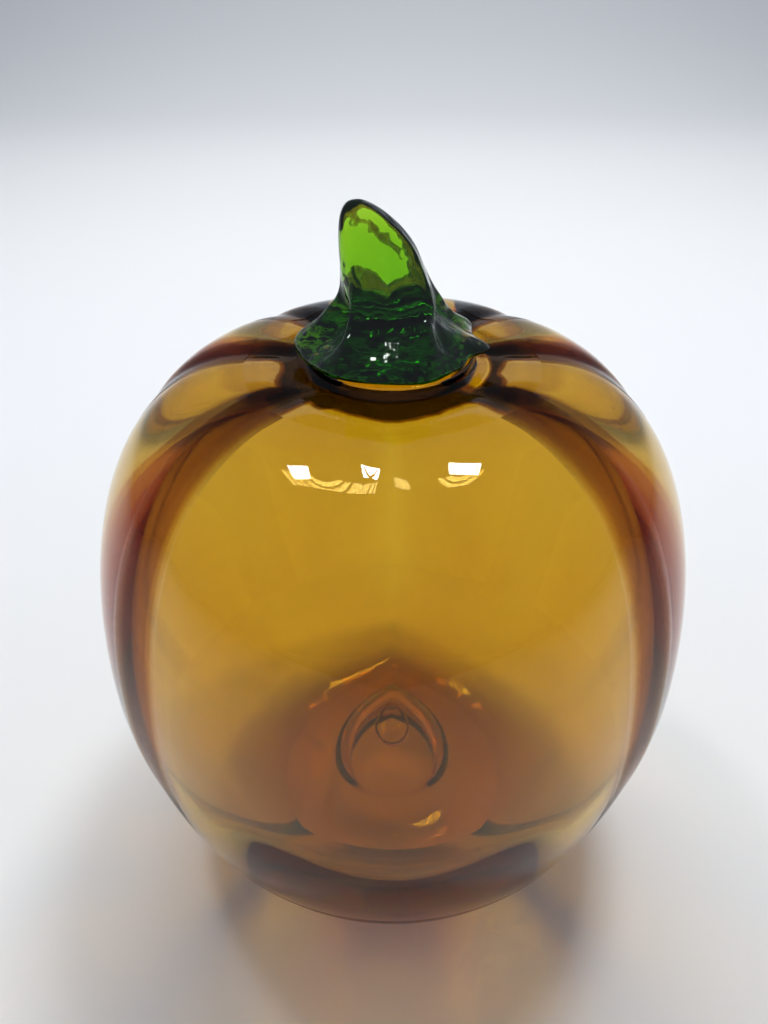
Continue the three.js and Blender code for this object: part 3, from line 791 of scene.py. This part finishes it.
world = bpy.data.worlds.new("room")
bpy.context.scene.world = world
world.use_nodes = True
nodes = world.node_tree.nodes
room = nodes["Background"]
room.inputs["Color"].default_value = room_light
room.inputs["Strength"].default_value = room_strength
backdrop = add_node(nodes, "Background", {"Color": backdrop_tone})
seen = add_node(nodes, "LightPath", {})
either = add_node(nodes, "MixShader", {0: seen.outputs["Is Camera Ray"], 1: room.outputs[0],
                                       2: backdrop.outputs[0]})
world.node_tree.links.new(either.outputs[0], nodes["World Output"].inputs["Surface"])

lamp_place, lamp_size, lamp_power, lamp_colour = (0, 1.0, 1.15), (1.2, .7), 15.5, (1, .985, .96)
panel_height = 1.6
grille_bar = .30


def hang_lamp(name, place, target, size, power, colour=(1, 1, 1)):
    lamp = bpy.data.lights.new(name, "AREA")
    lamp.shape = "RECTANGLE"
    lamp.size, lamp.size_y = size
    lamp.energy = power
    lamp.color = colour
    lamp_object = bpy.data.objects.new(name, lamp)
    bpy.context.scene.collection.objects.link(lamp_object)
    lamp_object.location = place
    lamp_object.rotation_euler = (Vector(target) - Vector(place)).to_track_quat("-Z", "Y").to_euler()
    return lamp_object


soft_lamp = hang_lamp("overhead", lamp_place, (0, 0, 0), lamp_size, lamp_power, lamp_colour)
soft_lamp.visible_glossy = False
soft_lamp.visible_transmission = False

# The lamp's face, which only light that comes off the paper meets through the glass: the paper
# gets its amber glow through the bubble, and no pale pane stands in the wall.
face = bmesh.new()
bmesh.ops.create_grid(face, x_segments=1, y_segments=1, size=.5)
bmesh.ops.scale(face, vec=(*lamp_size, 1), verts=face.verts)
glow = bpy.data.materials.new("lamp_glow")
glow.use_nodes = True
nodes = glow.node_tree.nodes
nodes.remove(nodes["Principled BSDF"])
path = add_node(nodes, "LightPath", {})
off_paper = add_node(nodes, "Math", {0: path.outputs["Diffuse Depth"], 1: .5},
                     operation="GREATER_THAN")
through = add_node(nodes, "Math", {0: path.outputs["Is Transmission Ray"],
                                   1: off_paper.outputs[0]}, operation="MULTIPLY")
strength = add_node(nodes, "Math", {0: through.outputs[0],
                                    1: lamp_power / pi / lamp_size[0] / lamp_size[1]},
                    operation="MULTIPLY")
emission = add_node(nodes, "Emission", {"Strength": strength.outputs[0]})
glow.node_tree.links.new(emission.outputs[0], nodes["Material Output"].inputs["Surface"])
glow.cycles.emission_sampling = "NONE"
lamp_face = object_from(face, "lamp_face", glow)
lamp_face.location = soft_lamp.location
lamp_face.rotation_euler = soft_lamp.rotation_euler
lamp_face.visible_camera = False
lamp_face.visible_glossy = False
lamp_face.visible_shadow = False


def hang_panel(name, x, y, size, power, bars, bright):
    """A ceiling panel behind a grille, which shows in its reflection as rows of small squares."""
    panel = hang_lamp(name, (x, y, panel_height), (x, y, 0), size, power)
    panel.data.use_nodes = True
    nodes = panel.data.node_tree.nodes
    across = add_node(nodes, "NewGeometry", {})
    repeat = add_node(nodes, "Mapping", {"Vector": across.outputs["Parametric"],
                                         "Scale": (*bars, 1)})
    cell = add_node(nodes, "VectorMath", {0: repeat.outputs[0]}, operation="FRACTION")
    split = add_node(nodes, "SeparateXYZ", {0: cell.outputs[0]})
    past_bars = [add_node(nodes, "Math", {0: split.outputs[axis], 1: grille_bar},
                          operation="GREATER_THAN").outputs[0] for axis in (0, 1)]
    open_share = add_node(nodes, "Math", {0: past_bars[0], 1: past_bars[1]}, operation="MULTIPLY")
    strength = add_node(nodes, "Math", {0: open_share.outputs[0], 1: bright},
                        operation="MULTIPLY")
    panel.data.node_tree.links.new(strength.outputs[0], nodes["Emission"].inputs["Strength"])


hang_panel("left_panel", -.562, .353, (.165, .26), 4, (5, 8), 2.3)
hang_panel("right_panel", .338, .42, (.345, .255), 8, (11, 7), 2.3)

camera_place = (0, -.219205, .297412)
camera_forward = Vector((-.00942464, .80485805, -.59339253))
camera_up = Vector((0, .59341889, .8048938))
camera_right = Vector((.99995559, .00758583, -.00559276))
camera_data = bpy.data.cameras.new("camera")
camera = bpy.data.objects.new("camera", camera_data)
bpy.context.scene.collection.objects.link(camera)
bpy.context.scene.camera = camera
camera_turn = Matrix((camera_right, camera_up, -camera_forward)).transposed().to_4x4()
camera.matrix_world = Matrix.Translation(camera_place) @ camera_turn
camera_data.sensor_fit = "VERTICAL"
camera_data.sensor_height = 24
camera_data.lens = 19.92
camera_data.clip_start = .01

bpy.context.scene.view_settings.view_transform = "Standard"
# Light has to cross many walls of clear glass and turns back inside them, so its paths are long
glass_bounces = 24
bpy.context.scene.cycles.max_bounces = glass_bounces
bpy.context.scene.cycles.transmission_bounces = glass_bounces
bpy.context.scene.cycles.glossy_bounces = glass_bounces
bpy.context.scene.cycles.blur_glossy = 0
